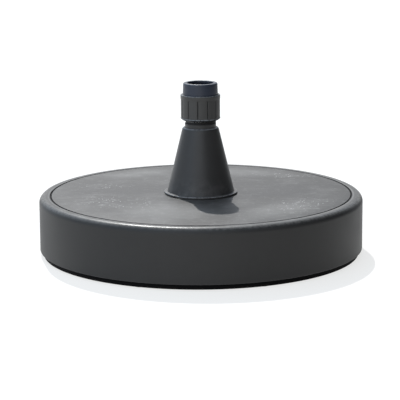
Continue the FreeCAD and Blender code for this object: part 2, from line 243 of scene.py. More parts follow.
shell_tint = (0.0388, 0.0367, 0.0345, 1)
film_tone = (0.34, 0.335, 0.32, 1)
scratch_tone = (0.45, 0.45, 0.44, 1)
speck_tone = (0.42, 0.41, 0.38, 1)
chalk_tone = (0.58, 0.57, 0.55, 1)
lip_highlight_tone = (0.42, 0.42, 0.41, 1)
shoulder_highlight_tone = (0.26, 0.26, 0.25, 1)
lower_edge_highlight_tone = (0.16, 0.16, 0.16, 1)
groove_tone = (0.006, 0.006, 0.006, 1)


def node_group(name, kind, inputs, outputs):
    """A node group with its named sockets, what comes into it and what it puts out."""
    tree = bpy.data.node_groups.new(name, kind)
    for way, sockets in (("INPUT", inputs), ("OUTPUT", outputs)):
        for label, holds in sockets.items():
            tree.interface.new_socket(label, in_out=way, socket_type="NodeSocket" + holds)
    return tree, tree.nodes.new("NodeGroupInput").outputs, tree.nodes.new("NodeGroupOutput").inputs


def put_out(tree, geometry, finish, result):
    """End a Geometry Nodes tree: its instances made real, with their finish."""
    real = node(tree, "GeometryNodeRealizeInstances", {"Geometry": geometry})
    finished = node(tree, "GeometryNodeSetMaterial", {"Geometry": real.outputs[0],
                                                      "Material": finish})
    tree.links.new(finished.outputs[0], result)


def lathe_tree():
    """Geometry Nodes that turn a closed outline about the Z axis, or wind it up a thread.

    The outline is the object's own points in order, in the X and Z plane. One turn with no
    pitch is a plain solid of revolution. More turns with a pitch are a helical ridge.
    """
    tree, given, result = node_group(
        "lathe", "GeometryNodeTree",
        {"Outline": "Geometry", "Segments": "Int", "Turns": "Float", "Pitch": "Float",
         "Finish": "Material"}, {"Turned": "Geometry"})

    def whole(operation, first, second):
        return node(tree, "FunctionNodeIntegerMath", {0: first, 1: second},
                    operation=operation).outputs[0]

    outline = given["Outline"]
    counts = node(tree, "GeometryNodeAttributeDomainSize", {"Geometry": outline})
    points = counts.outputs["Point Count"]
    rows = whole("ADD", points, 1)
    columns = whole("ADD", given["Segments"], 1)
    grid = node(tree, "GeometryNodeMeshGrid", {"Vertices X": columns, "Vertices Y": rows})
    index = node(tree, "GeometryNodeInputIndex").outputs[0]
    row = whole("MODULO", whole("MODULO", index, rows), points)
    column = maths(tree, "FLOOR", maths(tree, "DIVIDE", index, rows))
    turn = maths(tree, "DIVIDE", column, given["Segments"])
    turn = maths(tree, "MULTIPLY", turn, given["Turns"])
    place = node(tree, "GeometryNodeInputPosition").outputs[0]
    sampled = node(tree, "GeometryNodeSampleIndex",
                   {"Geometry": outline, "Index": row, "Value": place},
                   data_type="FLOAT_VECTOR", domain="POINT")
    turned = node(tree, "ShaderNodeVectorRotate",
                  {"Vector": sampled.outputs[0], "Angle": maths(tree, "MULTIPLY", turn, math.tau)},
                  rotation_type="Z_AXIS")
    climb = node(tree, "ShaderNodeCombineXYZ", {2: maths(tree, "MULTIPLY", turn, given["Pitch"])})
    moved = node(tree, "GeometryNodeSetPosition",
                 {"Geometry": grid.outputs["Mesh"], "Position": turned.outputs[0],
                  "Offset": climb.outputs[0]})
    closed = node(tree, "GeometryNodeMergeByDistance", {"Geometry": moved.outputs[0],
                                                        "Distance": merge_distance})
    put_out(tree, closed.outputs[0], given["Finish"], result["Turned"])
    return tree


def copies_tree():
    """Geometry Nodes that repeat the object's own mesh at equal angles about the Z axis."""
    tree, given, result = node_group(
        "ring_of_copies", "GeometryNodeTree",
        {"One": "Geometry", "Count": "Int", "First Angle": "Float", "Finish": "Material"},
        {"Ring": "Geometry"})
    places = node(tree, "GeometryNodeMeshLine", {"Count": given["Count"], "Offset": (0, 0, 0)})
    index = node(tree, "GeometryNodeInputIndex").outputs[0]
    share = maths(tree, "DIVIDE", index, given["Count"])
    angle = maths(tree, "MULTIPLY_ADD", share, math.tau, given["First Angle"])
    turn = node(tree, "ShaderNodeCombineXYZ", {2: angle})
    spread = node(tree, "GeometryNodeInstanceOnPoints",
                  {"Points": places.outputs[0], "Instance": given["One"],
                   "Rotation": turn.outputs[0]})
    put_out(tree, spread.outputs[0], given["Finish"], result["Ring"])
    return tree


def made_plain(piece):
    """Keep what a piece's modifiers make of it as its plain mesh, without the modifiers."""
    bpy.context.view_layer.update()
    made = piece.evaluated_get(bpy.context.evaluated_depsgraph_get())
    mesh = bpy.data.meshes.new_from_object(made)
    piece.modifiers.clear()
    piece.data = mesh


def worked(piece, tree, values):
    """Run a Geometry Nodes tree on a piece and keep its result."""
    modifier = piece.modifiers.new(tree.name, "NODES")
    modifier.node_group = tree
    for socket in tree.interface.items_tree:
        if socket.in_out == "INPUT" and socket.name in values:
            modifier[socket.identifier] = values[socket.name]
    made_plain(piece)


def outward(mesh, sharp=32.0):
    """Close a mesh, face it outwards and smooth it, but for edges sharper than an angle."""
    # Normals stored with a mesh no longer fit once its corners are merged.
    stored = mesh.attributes.get("custom_normal")
    if stored:
        mesh.attributes.remove(stored)
    work = bmesh.new()
    work.from_mesh(mesh)
    bmesh.ops.remove_doubles(work, verts=work.verts, dist=merge_distance)
    bmesh.ops.holes_fill(work, edges=[edge for edge in work.edges if edge.is_boundary])
    bmesh.ops.recalc_face_normals(work, faces=work.faces)
    work.to_mesh(mesh)
    work.free()
    mesh.shade_smooth()
    mesh.set_sharp_from_angle(angle=math.radians(sharp))


def new_piece(name, vertices, edges=(), faces=()):
    """An object with its own mesh, in the scene."""
    mesh = bpy.data.meshes.new(name)
    mesh.from_pydata(vertices, edges, faces)
    piece = bpy.data.objects.new(name, mesh)
    bpy.context.scene.collection.objects.link(piece)
    return piece


def arc(radius, height, size, start, end, steps):
    """Points of an arc in a turned outline, about a centre, between two angles in degrees."""
    angles = [math.radians(start + (end - start) * step / steps) for step in range(steps + 1)]
    return [(radius + size * math.cos(a), height + size * math.sin(a)) for a in angles]


lathe = lathe_tree()
ring_of_copies = copies_tree()


def turned_piece(name, outline, segments, finish, turns=1.0, pitch=0.0):
    """A closed outline of (radius, height) points turned into a solid or wound into a ridge."""
    loop = [(index, (index + 1) % len(outline)) for index in range(len(outline))]
    piece = new_piece(name, [(radius, 0, height) for radius, height in outline], loop)
    worked(piece, lathe, {"Segments": segments, "Turns": turns, "Pitch": pitch,
                          "Finish": finish})
    outward(piece.data)
    return piece


def bar(name, near, far, width, low, high):
    """A radial bar along +X."""
    half = width / 2
    corners = [(x, y, z) for z in (low, high) for x, y in ((near, -half), (far, -half),
                                                          (far, half), (near, half))]
    return new_piece(name, corners, (), [(3, 2, 1, 0), (4, 5, 6, 7), (0, 1, 5, 4), (1, 2, 6, 5),
                                         (2, 3, 7, 6), (3, 0, 4, 7)])


def joined(keeper, *others):
    """Bring the meshes of other pieces into one piece."""
    work = bmesh.new()
    for piece in (keeper,) + others:
        work.from_mesh(piece.data)
    work.to_mesh(keeper.data)
    work.free()
    for piece in others:
        bpy.data.objects.remove(piece)


def noise(tree, place, scale, detail, roughness=0.5):
    """A cloudy value about a half."""
    return node(tree, "ShaderNodeTexNoise", {"Vector": place, "Scale": scale, "Detail": detail,
                                             "Roughness": roughness}).outputs[0]


def cells(tree, place, scale):
    """Scattered cells: how far it is to the middle of one, and its three chance values."""
    made = node(tree, "ShaderNodeTexVoronoi", {"Vector": place, "Scale": scale})
    chances = node(tree, "ShaderNodeSeparateColor", {0: made.outputs["Color"]}).outputs
    return made.outputs["Distance"], chances


def stretched(tree, place, scale, turn=(0, 0, 0)):
    """A place stretched along its axes, then turned by angles in radians."""
    return node(tree, "ShaderNodeMapping", {0: place, "Rotation": turn, "Scale": scale}).outputs[0]


def length(tree, vector):
    """A vector's length."""
    return node(tree, "ShaderNodeVectorMath", {0: vector}, operation="LENGTH").outputs["Value"]


def around(tree, place):
    """A place's distance from the Z axis and its height."""
    x, y, z = node(tree, "ShaderNodeSeparateXYZ", {0: place}).outputs
    return length(tree, node(tree, "ShaderNodeCombineXYZ", {0: x, 1: y}).outputs[0]), z


def moulded_skin_group():
    """Moulded plastic: an eroded grain, and slow clouds in its tone and shine."""
    tree, given, result = node_group(
        "moulded_skin", "ShaderNodeTree",
        {"Place": "Vector", "Tint": "Color", "Shine": "Float", "Grain": "Float",
         "Depth mm": "Float", "Clouds": "Float"},
        {"Color": "Color", "Roughness": "Float", "Height mm": "Float"})
    pits = node(tree, "ShaderNodeTexVoronoi", {"Vector": given["Place"], "Scale": given["Grain"],
                                               "Smoothness": 0.6}, feature="SMOOTH_F1")
    fine = noise(tree, given["Place"], given["Grain"], detail=2.0)
    ground = maths(tree, "ADD", pits.outputs["Distance"], fine)
    clouds = noise(tree, given["Place"], scale=16.0, detail=4.0, roughness=0.55)
    drift = maths(tree, "SUBTRACT", clouds, 0.5)
    fleck = maths(tree, "SUBTRACT", fine, 0.5)
    tone = summed(tree, 1.0, (drift, 0.5), (fleck, 0.25))
    toned = node(tree, "ShaderNodeVectorMath", {0: given["Tint"], 1: tone}, operation="MULTIPLY")
    tree.links.new(toned.outputs[0], result["Color"])
    tree.links.new(summed(tree, given["Shine"], (drift, given["Clouds"])), result["Roughness"])
    tree.links.new(maths(tree, "MULTIPLY", ground, given["Depth mm"]), result["Height mm"])
    return tree


def settled_dust_group():
    """Dust that has settled and partly washed off: a broken film with fine specks."""
    tree, given, result = node_group(
        "settled_dust", "ShaderNodeTree", {"Place": "Vector", "Cover": "Float", "Patch": "Float"},
        {"Film": "Float", "Specks": "Float"})
    shortage = maths(tree, "SUBTRACT", 1.0, given["Cover"])
    low = summed(tree, 0.15, (shortage, 0.5))
    patches = noise(tree, given["Place"], given["Patch"], detail=9.0, roughness=0.62)
    film = remap(tree, patches, low, maths(tree, "ADD", low, 0.28))
    away, chances = cells(tree, given["Place"], scale=420.0)
    specks = maths(tree, "LESS_THAN", away, maths(tree, "MULTIPLY", chances[0], 0.22))
    tree.links.new(film, result["Film"])
    tree.links.new(maths(tree, "MULTIPLY", specks, film), result["Specks"])
    return tree


def edge_wear_and_highlight_group():
    """A broken-up mask along a round edge at a radius and height: wear and painted highlights."""
    tree, given, result = node_group(
        "edge_wear_and_highlight", "ShaderNodeTree",
        {"Place": "Vector", "Radius": "Float", "Height": "Float", "Width": "Float",
         "Breaks": "Float"}, {"Wear": "Float"})
    radius, up = around(tree, given["Place"])
    offset = node(tree, "ShaderNodeCombineXYZ",
                  {0: maths(tree, "SUBTRACT", radius, given["Radius"]),
                   1: maths(tree, "SUBTRACT", up, given["Height"])})
    close = remap(tree, length(tree, offset.outputs[0]), given["Width"], 0.0)
    breaks = noise(tree, given["Place"], given["Breaks"], detail=6.0)
    broken = remap(tree, breaks, 0.30, 0.62)
    tree.links.new(maths(tree, "MULTIPLY", close, broken), result["Wear"])
    return tree


moulded_skin = moulded_skin_group()
settled_dust = settled_dust_group()
edge_wear_and_highlight = edge_wear_and_highlight_group()


def effect(tree, group, **inputs):
    """A shader node group placed in a material. Its inputs are named with _ for a space."""
    made = node(tree, "ShaderNodeGroup", node_tree=group)
    for key, value in inputs.items():
        feed(tree, made.inputs[key.replace("_", " ")], value)
    return made.outputs


def moulded_plastic(name, **looks):
    """A plastic's material with its tree and shader, the place on it and its moulded skin."""
    material, tree, shader = new_material(name)
    place = place_on(tree)
    return material, tree, shader, place, effect(tree, moulded_skin, Place=place, **looks)


def edge_wear_and_highlight_mask(tree, place, radius, height, width, breaks):
    """The mask of one round edge, for wear and painted highlights."""
    return effect(tree, edge_wear_and_highlight, Place=place, Radius=radius, Height=height, Width=width,
                  Breaks=breaks)["Wear"]


def layered(tree, color, *coats):
    """A colour with coats laid over it in turn. A coat is its mask, its share and its tone."""
    for mask, share, tone in coats:
        color = blended(tree, maths(tree, "MULTIPLY", mask, share), color, tone)
    return color


def finish_with(tree, shader, color, rough, height_mm, specular=0.5):
    """Give a material its colour, its roughness, its bump in millimetres and its reflection."""
    bump = node(tree, "ShaderNodeBump", {"Height": height_mm, "Distance": 0.001, "Strength": 1.0})
    tree.links.new(color, shader.inputs["Base Color"])
    tree.links.new(rough, shader.inputs["Roughness"])
    tree.links.new(bump.outputs[0], shader.inputs["Normal"])
    shader.inputs["Specular IOR Level"].default_value = specular


def band(tree, value, middle, outer, inner):
    """A mask of 1 up to an inner distance from a middle value, and of 0 past an outer one."""
    off = maths(tree, "ABSOLUTE", maths(tree, "SUBTRACT", value, middle))
    return remap(tree, off, outer, inner)


def soft_patches(tree, place, *ovals):
    """A mask of ovals on the top that fade to their rims: middle, reach, turn and strength."""
    mask = 0.0
    for middle, reach, turn, strength in ovals:
        local = node(tree, "ShaderNodeMapping",
                     {0: place, "Location": middle + (shell_high.z,),
                      "Rotation": (0, 0, math.radians(turn)), "Scale": reach + (1.0,)},
                     vector_type="TEXTURE")
        patch = remap(tree, length(tree, local.outputs[0]), 1.0, 0.15, 0.0, strength)
        mask = maths(tree, "MAXIMUM", mask, patch)
    return mask


shell_plastic, tree, shader, place, skin = moulded_plastic(
    "charcoal_shell", Tint=shell_tint, Shine=0.50, Grain=1500.0, Depth_mm=0.02, Clouds=0.16)
radius, up = around(tree, place)
on_top = remap(tree, up, shell_high.z - 0.0035, shell_high.z - 0.0008)
# The shoulder is worn smoother, and its pale line is a painted highlight.
shoulder_wear_and_highlight = edge_wear_and_highlight_mask(tree, place, shell_radius - 0.005, shell_high.z - 0.0018,
                         width=0.0065, breaks=210.0)
# Painted highlight: a pale line along the shell's lower edge.
lower_edge_highlight = edge_wear_and_highlight_mask(tree, place, shell_radius, shell_edge, width=0.0014, breaks=60.0)
# The groove is painted near black.
in_groove = band(tree, radius, groove_radius, outer=groove_half + 0.0008,
                 inner=groove_half + 0.0002)
# Painted highlight: a pale ring on the flat top just outside the groove.
lip_highlight = band(tree, radius, groove_radius + lip_offset, outer=0.0018, inner=0.0004)
lip_highlight = maths(tree, "MULTIPLY", lip_highlight, on_top)
outermost = remap(tree, radius, shell_radius - 0.012, shell_radius - 0.008)
uppermost = remap(tree, up, shell_high.z - 0.006, shell_high.z - 0.003)
polished = maths(tree, "MULTIPLY", outermost, uppermost)
# Dustier, paler patches and cleaner, darker patches on the top are painted reflection. Drops
# of hard water have dried to chalk in places.
painted_bright_patches = soft_patches(tree, place, ((-0.047, -0.135), (0.105, 0.085), -35, 1.0),
                       ((0.120, -0.125), (0.115, 0.055), 45, 0.75),
                       ((0.070, 0.165), (0.110, 0.050), -15, 0.75),
                       ((-0.100, 0.160), (0.090, 0.045), 25, 0.75))
chalky = soft_patches(tree, place, ((-0.125, -0.070), (0.085, 0.055), -35, 1.0),
                      ((0.150, -0.095), (0.085, 0.055), 45, 1.0),
                      ((0.125, 0.140), (0.085, 0.030), -25, 1.0),
                      ((-0.150, 0.055), (0.050, 0.030), 0, 1.0))
painted_dark_patches = soft_patches(tree, place, ((-0.120, 0.015), (0.110, 0.050), 5, 1.0),
                     ((0.120, 0.015), (0.110, 0.060), 25, 1.0))
along = stretched(tree, place, (14.0, 120.0, 14.0), (0, 0, math.radians(24)))
streak = remap(tree, noise(tree, along, scale=1.0, detail=5.0, roughness=0.6), 0.50, 0.75)
dust = effect(tree, settled_dust, Place=place, Cover=0.46, Patch=24.0)
film = summed(tree, 0.15, (dust["Film"], 0.40), (painted_bright_patches, 1.2), (streak, 0.30), (painted_dark_patches, -0.35))
film = maths(tree, "MULTIPLY", maths(tree, "MAXIMUM", film, 0.0), on_top)
specks = maths(tree, "MULTIPLY", dust["Specks"], on_top)
mark = remap(tree, noise(tree, place, scale=95.0, detail=8.0, roughness=0.7), 0.54, 0.66)
mark = maths(tree, "MULTIPLY", mark, on_top)
scratched = maths(tree, "MULTIPLY", mark, summed(tree, 0.08, (chalky, 0.24)))
away, chances = cells(tree, stretched(tree, place, (330.0, 190.0, 200.0)), scale=1.0)
drop_size = remap(tree, chances[1], 0.72, 1.0, 0.0, 0.42, kind="LINEAR")
drop = maths(tree, "LESS_THAN", away, drop_size)
drop = maths(tree, "MULTIPLY", drop, on_top)
chalk = maths(tree, "MULTIPLY", drop, summed(tree, 0.06, (chalky, 0.55)))
color = layered(tree, skin["Color"], (film, 0.27, film_tone), (scratched, 1.0, scratch_tone),
                (specks, 0.25, speck_tone), (chalk, 1.0, chalk_tone), (lip_highlight, 0.16, lip_highlight_tone),
                (shoulder_wear_and_highlight, 0.30, shoulder_highlight_tone), (lower_edge_highlight, 0.30, lower_edge_highlight_tone),
                (in_groove, 1.0, groove_tone))
painted_dark_patches_top = maths(tree, "MULTIPLY", painted_dark_patches, on_top)
rough = summed(tree, skin["Roughness"], (film, 0.04), (painted_dark_patches_top, -0.07), (polished, -0.08),
               (shoulder_wear_and_highlight, -0.10), (in_groove, 0.45))
sway = noise(tree, place, scale=7.0, detail=1.0)
height = summed(tree, skin["Height mm"], (sway, 0.8), (specks, 0.03), (mark, 0.02), (chalk, 0.05))
finish_with(tree, shader, color, maths(tree, "MINIMUM", rough, 1.0), height, specular=0.36)

panel = shell_high.z - step_drop
ceiling = shell_high.z - shell_wall
wall_inside = shell_radius - shell_wall
shoulder_middle = shell_radius - shoulder_round
shell_outline = [(hole_radius, shell_high.z), (step_start, shell_high.z),
                 (step_start + step_run, panel)]
shell_outline += arc(groove_radius - groove_half - groove_round, panel - groove_round,
                     groove_round, 90, 0, 3)
shell_outline += [(groove_radius - groove_half, panel - groove_depth),
                  (groove_radius + groove_half, panel - groove_depth)]
shell_outline += arc(groove_radius + groove_half + groove_round, panel - groove_round,
                     groove_round, 180, 90, 3)
# A point held just off a round keeps the face beside it flat in the light.
shell_outline += [(shoulder_middle - panel_hold, panel)]
shell_outline += arc(shoulder_middle, panel - shoulder_round, shoulder_round, 90, 0, 12)
shell_outline += [(shell_radius, panel - shoulder_round - wall_hold),
                  (shell_radius, shell_edge + lower_round + wall_hold)]
shell_outline += arc(shell_radius - lower_round, shell_edge + lower_round, lower_round, 0, -90, 4)
shell_outline += [(wall_inside, shell_edge)]
shell_outline += arc(shoulder_middle, shell_high.z - shoulder_round, shoulder_round - shell_wall,
                     0, 90, 5)
shell_outline += [(hole_radius, ceiling)]
shell = turned_piece("shell_cover", shell_outline, shell_segments, shell_plastic)

ribs = bar("shell_ribs", rib_inner, wall_inside + weld, rib_width, ceiling - rib_depth,
           ceiling + weld)
worked(ribs, ring_of_copies, {"Count": rib_count, "First Angle": math.pi / rib_count,
                              "Finish": shell_plastic})
webs = bar("shell_boss_webs", boss_circle, wall_inside + weld, rib_width, web_low, ceiling + weld)
worked(webs, ring_of_copies, {"Count": boss_count, "Finish": shell_plastic})
# The boss is hollow up to the end of its pilot hole.
boss_outline = [(near_axis, pilot_high), (pilot_radius, pilot_high), (pilot_radius, boss_low),
                (boss_radius, boss_low), (boss_radius, ceiling + weld), (near_axis, ceiling + weld)]
bosses = turned_piece("shell_bosses", boss_outline, boss_segments, shell_plastic)
bosses.data.transform(Matrix.Translation((boss_circle, 0, 0)))
worked(bosses, ring_of_copies, {"Count": boss_count, "Finish": shell_plastic})
joined(shell, ribs, webs, bosses)
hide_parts("top_shell")
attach(shell, "base")


# ---- Ballast ----
# A ring of cast concrete that fills the shell and gives the base its weight. It is poured
# into the upturned shell, so it is relieved round the bosses, and its skin has air holes.

dark_paste = (0.27, 0.26, 0.24, 1)
pale_paste = (0.42, 0.41, 0.39, 1)
dark_stone = (0.20, 0.19, 0.18, 1)
pale_stone = (0.46, 0.43, 0.39, 1)
pore_tone = (0.09, 0.09, 0.085, 1)


def kept_shape(name, finish):
    """A merged and smoothed copy of a solid of the base that gives it its own finish."""
    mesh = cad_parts[name].data.copy()
    outward(mesh)
    mesh.materials.clear()
    mesh.materials.append(finish)
    piece = bpy.data.objects.new(name + "_finish", mesh)
    bpy.context.scene.collection.objects.link(piece)
    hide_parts(name)
    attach(piece, "base")


concrete, tree, shader = new_material("cast_concrete")
place = place_on(tree)
paste = noise(tree, place, scale=35.0, detail=9.0, roughness=0.65)
to_stone, stone_tones = cells(tree, place, scale=130.0)
stone = blended(tree, stone_tones[0], dark_stone, pale_stone)
to_pore = cells(tree, place, scale=260.0)[0]
pore = remap(tree, to_pore, 0.24, 0.14)
grey = blended(tree, remap(tree, paste, 0.3, 0.7), dark_paste, pale_paste)
in_stone = remap(tree, to_stone, 0.34, 0.26)
grey = layered(tree, grey, (in_stone, 0.45, stone), (pore, 0.7, pore_tone))
height = summed(tree, maths(tree, "MULTIPLY", paste, 0.6), (pore, -0.5))
finish_with(tree, shader, grey, remap(tree, paste, 0.3, 0.7, 0.95, 0.78), height)
kept_shape("ballast", concrete)


# ---- Socket cone ----
# The part that carries the pole: one glass-filled moulding with a thin flange, a hollow cone,
# a neck with the nut's thread, the pole's inner tube and a threaded skirt that goes down
# through the shell. Pale lines on the flange's rim and the cone's head are painted highlights,
# the thread just under the nut is painted near black as the nut's shade, and its crests carry
# painted pale highlights.

flange_radius = 0.0565
flange_top = 0.0966
cone_head_radius = 0.0276
cone_head = 0.1966
neck_plain_top = 0.2026
thread_radius = 0.024

socket_tint = (0.043, 0.040, 0.0375, 1)
socket_dust_tone = (0.26, 0.25, 0.235, 1)
neck_tone = (0.010, 0.010, 0.010, 1)
under_nut_shade_tone = (0.003, 0.003, 0.003, 1)
crest_highlight_tone = (0.75, 0.74, 0.72, 1)
socket_highlight_tone = (0.40, 0.405, 0.41, 1)

socket_plastic, tree, shader, place, skin = moulded_plastic(
    "charcoal_socket", Tint=socket_tint, Shine=0.42, Grain=1900.0, Depth_mm=0.012, Clouds=0.12)
radius, up = around(tree, place)
# Painted highlights: pale lines along the flange's rim and round the cone's head.
rim = edge_wear_and_highlight_mask(tree, place, flange_radius, flange_top + 0.0001, width=0.0017, breaks=420.0)
head = edge_wear_and_highlight_mask(tree, place, cone_head_radius - 0.001, cone_head, width=0.0025, breaks=110.0)
low_part = remap(tree, up, flange_top + 0.035, flange_top - 0.001)
on_neck = remap(tree, up, cone_head - 0.001, cone_head + 0.0005)
dust = effect(tree, settled_dust, Place=place, Cover=0.5, Patch=60.0)["Film"]
film = maths(tree, "MULTIPLY", dust, maths(tree, "MULTIPLY", low_part, 0.20))
neck_film = maths(tree, "MULTIPLY", dust, maths(tree, "MULTIPLY", on_neck, 0.12))
# Painted shade: the thread just under the nut is painted near black.
under_nut_shade = remap(tree, up, neck_plain_top - 0.0012, neck_plain_top + 0.0008)
# Painted highlight: pale dashes on the thread's crests under the nut.
crest = remap(tree, radius, thread_radius - 0.0008, thread_radius - 0.0003)
threaded = remap(tree, up, neck_plain_top, neck_plain_top + 0.0005)
crest_highlight_breaks = remap(tree, noise(tree, place, scale=600.0, detail=3.0), 0.44, 0.56)
crest = maths(tree, "MULTIPLY", maths(tree, "MULTIPLY", crest, threaded), crest_highlight_breaks)
color = layered(tree, skin["Color"],
                (maths(tree, "MAXIMUM", film, neck_film), 1.0, socket_dust_tone),
                (on_neck, 0.35, neck_tone), (under_nut_shade, 0.9, under_nut_shade_tone), (crest, 0.9, crest_highlight_tone),
                (maths(tree, "MAXIMUM", rim, head), 0.9, socket_highlight_tone))
rough = summed(tree, skin["Roughness"], (film, 0.4), (under_nut_shade, 0.30))
drawn = noise(tree, stretched(tree, place, (900.0, 900.0, 22.0)), scale=1.0, detail=2.0)
finish_with(tree, shader, color, rough, summed(tree, skin["Height mm"], (drawn, 0.008)))
kept_shape("socket_cone", socket_plastic)


# ---- Gasket, washer and lock ring ----
# The cone's flange sits on a black rubber ring. Below the shell a zinc-plated steel washer
# and a glass-filled nylon ring, screwed up the skirt with a pin spanner, hold it down.

rubber_tint = (0.014, 0.014, 0.0145, 1)
rubber_bloom_tone = (0.20, 0.19, 0.18, 1)
dark_zinc = (0.50, 0.51, 0.53, 1)
pale_zinc = (0.63, 0.63, 0.64, 1)
zinc_stain_tone = (0.36, 0.34, 0.30, 1)
lock_ring_tint = (0.020, 0.020, 0.021, 1)
fibre_tone = (0.17, 0.17, 0.17, 1)

rubber, tree, shader, place, skin = moulded_plastic(
    "black_rubber", Tint=rubber_tint, Shine=0.78, Grain=2600.0, Depth_mm=0.03, Clouds=0.10)
bloom = effect(tree, settled_dust, Place=place, Cover=0.45, Patch=90.0)["Film"]
tread = stretched(tree, place, (1, 1, 1), (0, 0, math.radians(45)))
ridges = node(tree, "ShaderNodeTexWave", {"Vector": tread, "Scale": 200.0}).outputs["Fac"]
finish_with(tree, shader, layered(tree, skin["Color"], (bloom, 0.14, rubber_bloom_tone)),
            skin["Roughness"], summed(tree, skin["Height mm"], (ridges, 0.10)),
            specular=0.35)
kept_shape("flange_gasket", rubber)

zinc, tree, shader = new_material("zinc_plate")
place = place_on(tree)
spangle_tones = cells(tree, place, scale=900.0)[1]
spangle = spangle_tones[0]
stain = noise(tree, place, scale=70.0, detail=6.0)
color = blended(tree, spangle, dark_zinc, pale_zinc)
color = blended(tree, remap(tree, stain, 0.55, 0.75, 0.0, 0.6), color, zinc_stain_tone)
rough = summed(tree, 0.28, (spangle, 0.12), (remap(tree, stain, 0.5, 0.75), 0.25))
shader.inputs["Metallic"].default_value = 1.0
finish_with(tree, shader, color, rough, maths(tree, "MULTIPLY", stain, 0.03))
kept_shape("lock_washer", zinc)

# Short pale fibres of glass lie just under the ring's slightly rough skin.
ring_plastic, tree, shader, place, skin = moulded_plastic(
    "lock_ring_nylon", Tint=lock_ring_tint, Shine=0.50, Grain=1700.0, Depth_mm=0.015, Clouds=0.14)
drawn = stretched(tree, place, (400.0, 2600.0, 2600.0), (0.4, 0.3, 0.5))
fibre = remap(tree, noise(tree, drawn, scale=1.0, detail=1.0), 0.66, 0.74)
finish_with(tree, shader, layered(tree, skin["Color"], (fibre, 0.35, fibre_tone)),
            skin["Roughness"], summed(tree, skin["Height mm"], (fibre, 0.01)))
kept_shape("lock_ring", ring_plastic)


# ---- Pole stop ----
# A dished disc at the foot of the inner tube that the pole stands on, with a drain hole. It is
# moulded in nylon, and the end of the pole has ground pale rings into it.

stop_tint = (0.022, 0.022, 0.023, 1)
ground_tone = (0.14, 0.14, 0.14, 1)


def ring_waves(tree, place, scale, distortion):
    """Uneven rings about the Z axis."""
    return node(tree, "ShaderNodeTexWave", {"Vector": place, "Scale": scale, "Detail": 3.0,
                                            "Distortion": distortion},
                wave_type="RINGS", rings_direction="Z").outputs["Fac"]


stop_plastic, tree, shader, place, skin = moulded_plastic(
    "stop_nylon", Tint=stop_tint, Shine=0.48, Grain=1700.0, Depth_mm=0.015, Clouds=0.12)
ground = remap(tree, ring_waves(tree, place, scale=260.0, distortion=1.5), 0.72, 0.95)
finish_with(tree, shader, layered(tree, skin["Color"], (ground, 0.3, ground_tone)),
            skin["Roughness"], summed(tree, skin["Height mm"], (ground, -0.03)))
kept_shape("pole_stop", stop_plastic)


# ---- Base plate ----
# The black plate that closes the shell from below, moulded in recycled polypropylene with a
# foot ring, ribs, screw recesses and a hub for the pole tube. Splashed earth has dried on its
# lowest edge, and its flat web shows the flow lines of the moulding.

plate_tint = (0.0060, 0.0060, 0.0064, 1)
earth_tone = (0.12, 0.10, 0.08, 1)
splash_height = 0.006
splash_full = 0.001

plate_plastic, tree, shader, place, skin = moulded_plastic(
    "recycled_plate", Tint=plate_tint, Shine=0.72, Grain=1300.0, Depth_mm=0.03, Clouds=0.16)
earth = effect(tree, settled_dust, Place=place, Cover=0.40, Patch=45.0)["Film"]
up = around(tree, place)[1]
earth = maths(tree, "MULTIPLY", earth, remap(tree, up, splash_height, splash_full))
flow = ring_waves(tree, place, scale=22.0, distortion=9.0)
finish_with(tree, shader, layered(tree, skin["Color"], (earth, 0.30, earth_tone)),
            summed(tree, skin["Roughness"], (earth, 0.25)),
            summed(tree, skin["Height mm"], (flow, 0.05), (earth, 0.08)), specular=0.08)
kept_shape("base_plate", plate_plastic)


# ---- Plate screws ----
# Eight zinc-plated screws for plastics, with cross recesses, driven up through the plate into
# the shell's bosses. Their pan heads lie just below the foot ring's face.

screw_low, screw_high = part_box("plate_screws")
screw_head_radius = 0.0045
screw_head_height = 0.0028
screw_head_round = 0.0009
screw_shank_radius = 0.0016
screw_thread_radius = 0.0020
screw_thread_pitch = 0.0016
screw_ridge_share = 0.22
screw_ridge_root = 0.0002
screw_thread_gap = 0.001
screw_tip_height = 0.0025
screw_segments = 28
screw_ridge_segments = 160
recess_reach = 0.0025
recess_width = 0.0010
recess_depth = 0.0014
recess_spare = 0.001

head_seat = screw_low.z + screw_head_height
head_middle = screw_head_radius - screw_head_round
tip_start = screw_high.z - screw_tip_height
screw_outline = [(near_axis, screw_low.z), (head_middle, screw_low.z)]
screw_outline += arc(head_middle, screw_low.z + screw_head_round, screw_head_round, -75, 0, 4)
screw_outline += [(screw_head_radius, head_seat), (screw_shank_radius, head_seat),
                  (screw_shank_radius, tip_start), (screw_shank_radius / 4, screw_high.z),
                  (near_axis, screw_high.z)]
screws = turned_piece("plate_screw_set", screw_outline, screw_segments, zinc)
ridge_half = screw_thread_pitch * screw_ridge_share
ridge_start = head_seat + screw_thread_gap
ridge_outline = [(screw_shank_radius - screw_ridge_root, ridge_start - ridge_half),
                 (screw_thread_radius, ridge_start),
                 (screw_shank_radius - screw_ridge_root, ridge_start + ridge_half)]
ridge_turns = (tip_start - ridge_start - screw_thread_gap) / screw_thread_pitch
ridge = turned_piece("screw_ridge", ridge_outline, screw_ridge_segments, zinc, ridge_turns,
                     screw_thread_pitch)
for angle in (0, math.pi / 2):
    cutter = bar("recess_cutter", -recess_reach, recess_reach, recess_width,
                 screw_low.z - recess_spare, screw_low.z + recess_depth)
    cutter.data.transform(Matrix.Rotation(angle, 4, "Z"))
    cutting = screws.modifiers.new("recess", "BOOLEAN")
    cutting.object = cutter
    cutting.solver = "EXACT"
    made_plain(screws)
    bpy.data.objects.remove(cutter)
joined(screws, ridge)
screws.data.transform(Matrix.Translation((boss_circle, 0, 0)))
worked(screws, ring_of_copies, {"Count": boss_count, "Finish": zinc})
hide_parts("plate_screws")
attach(screws, "base")


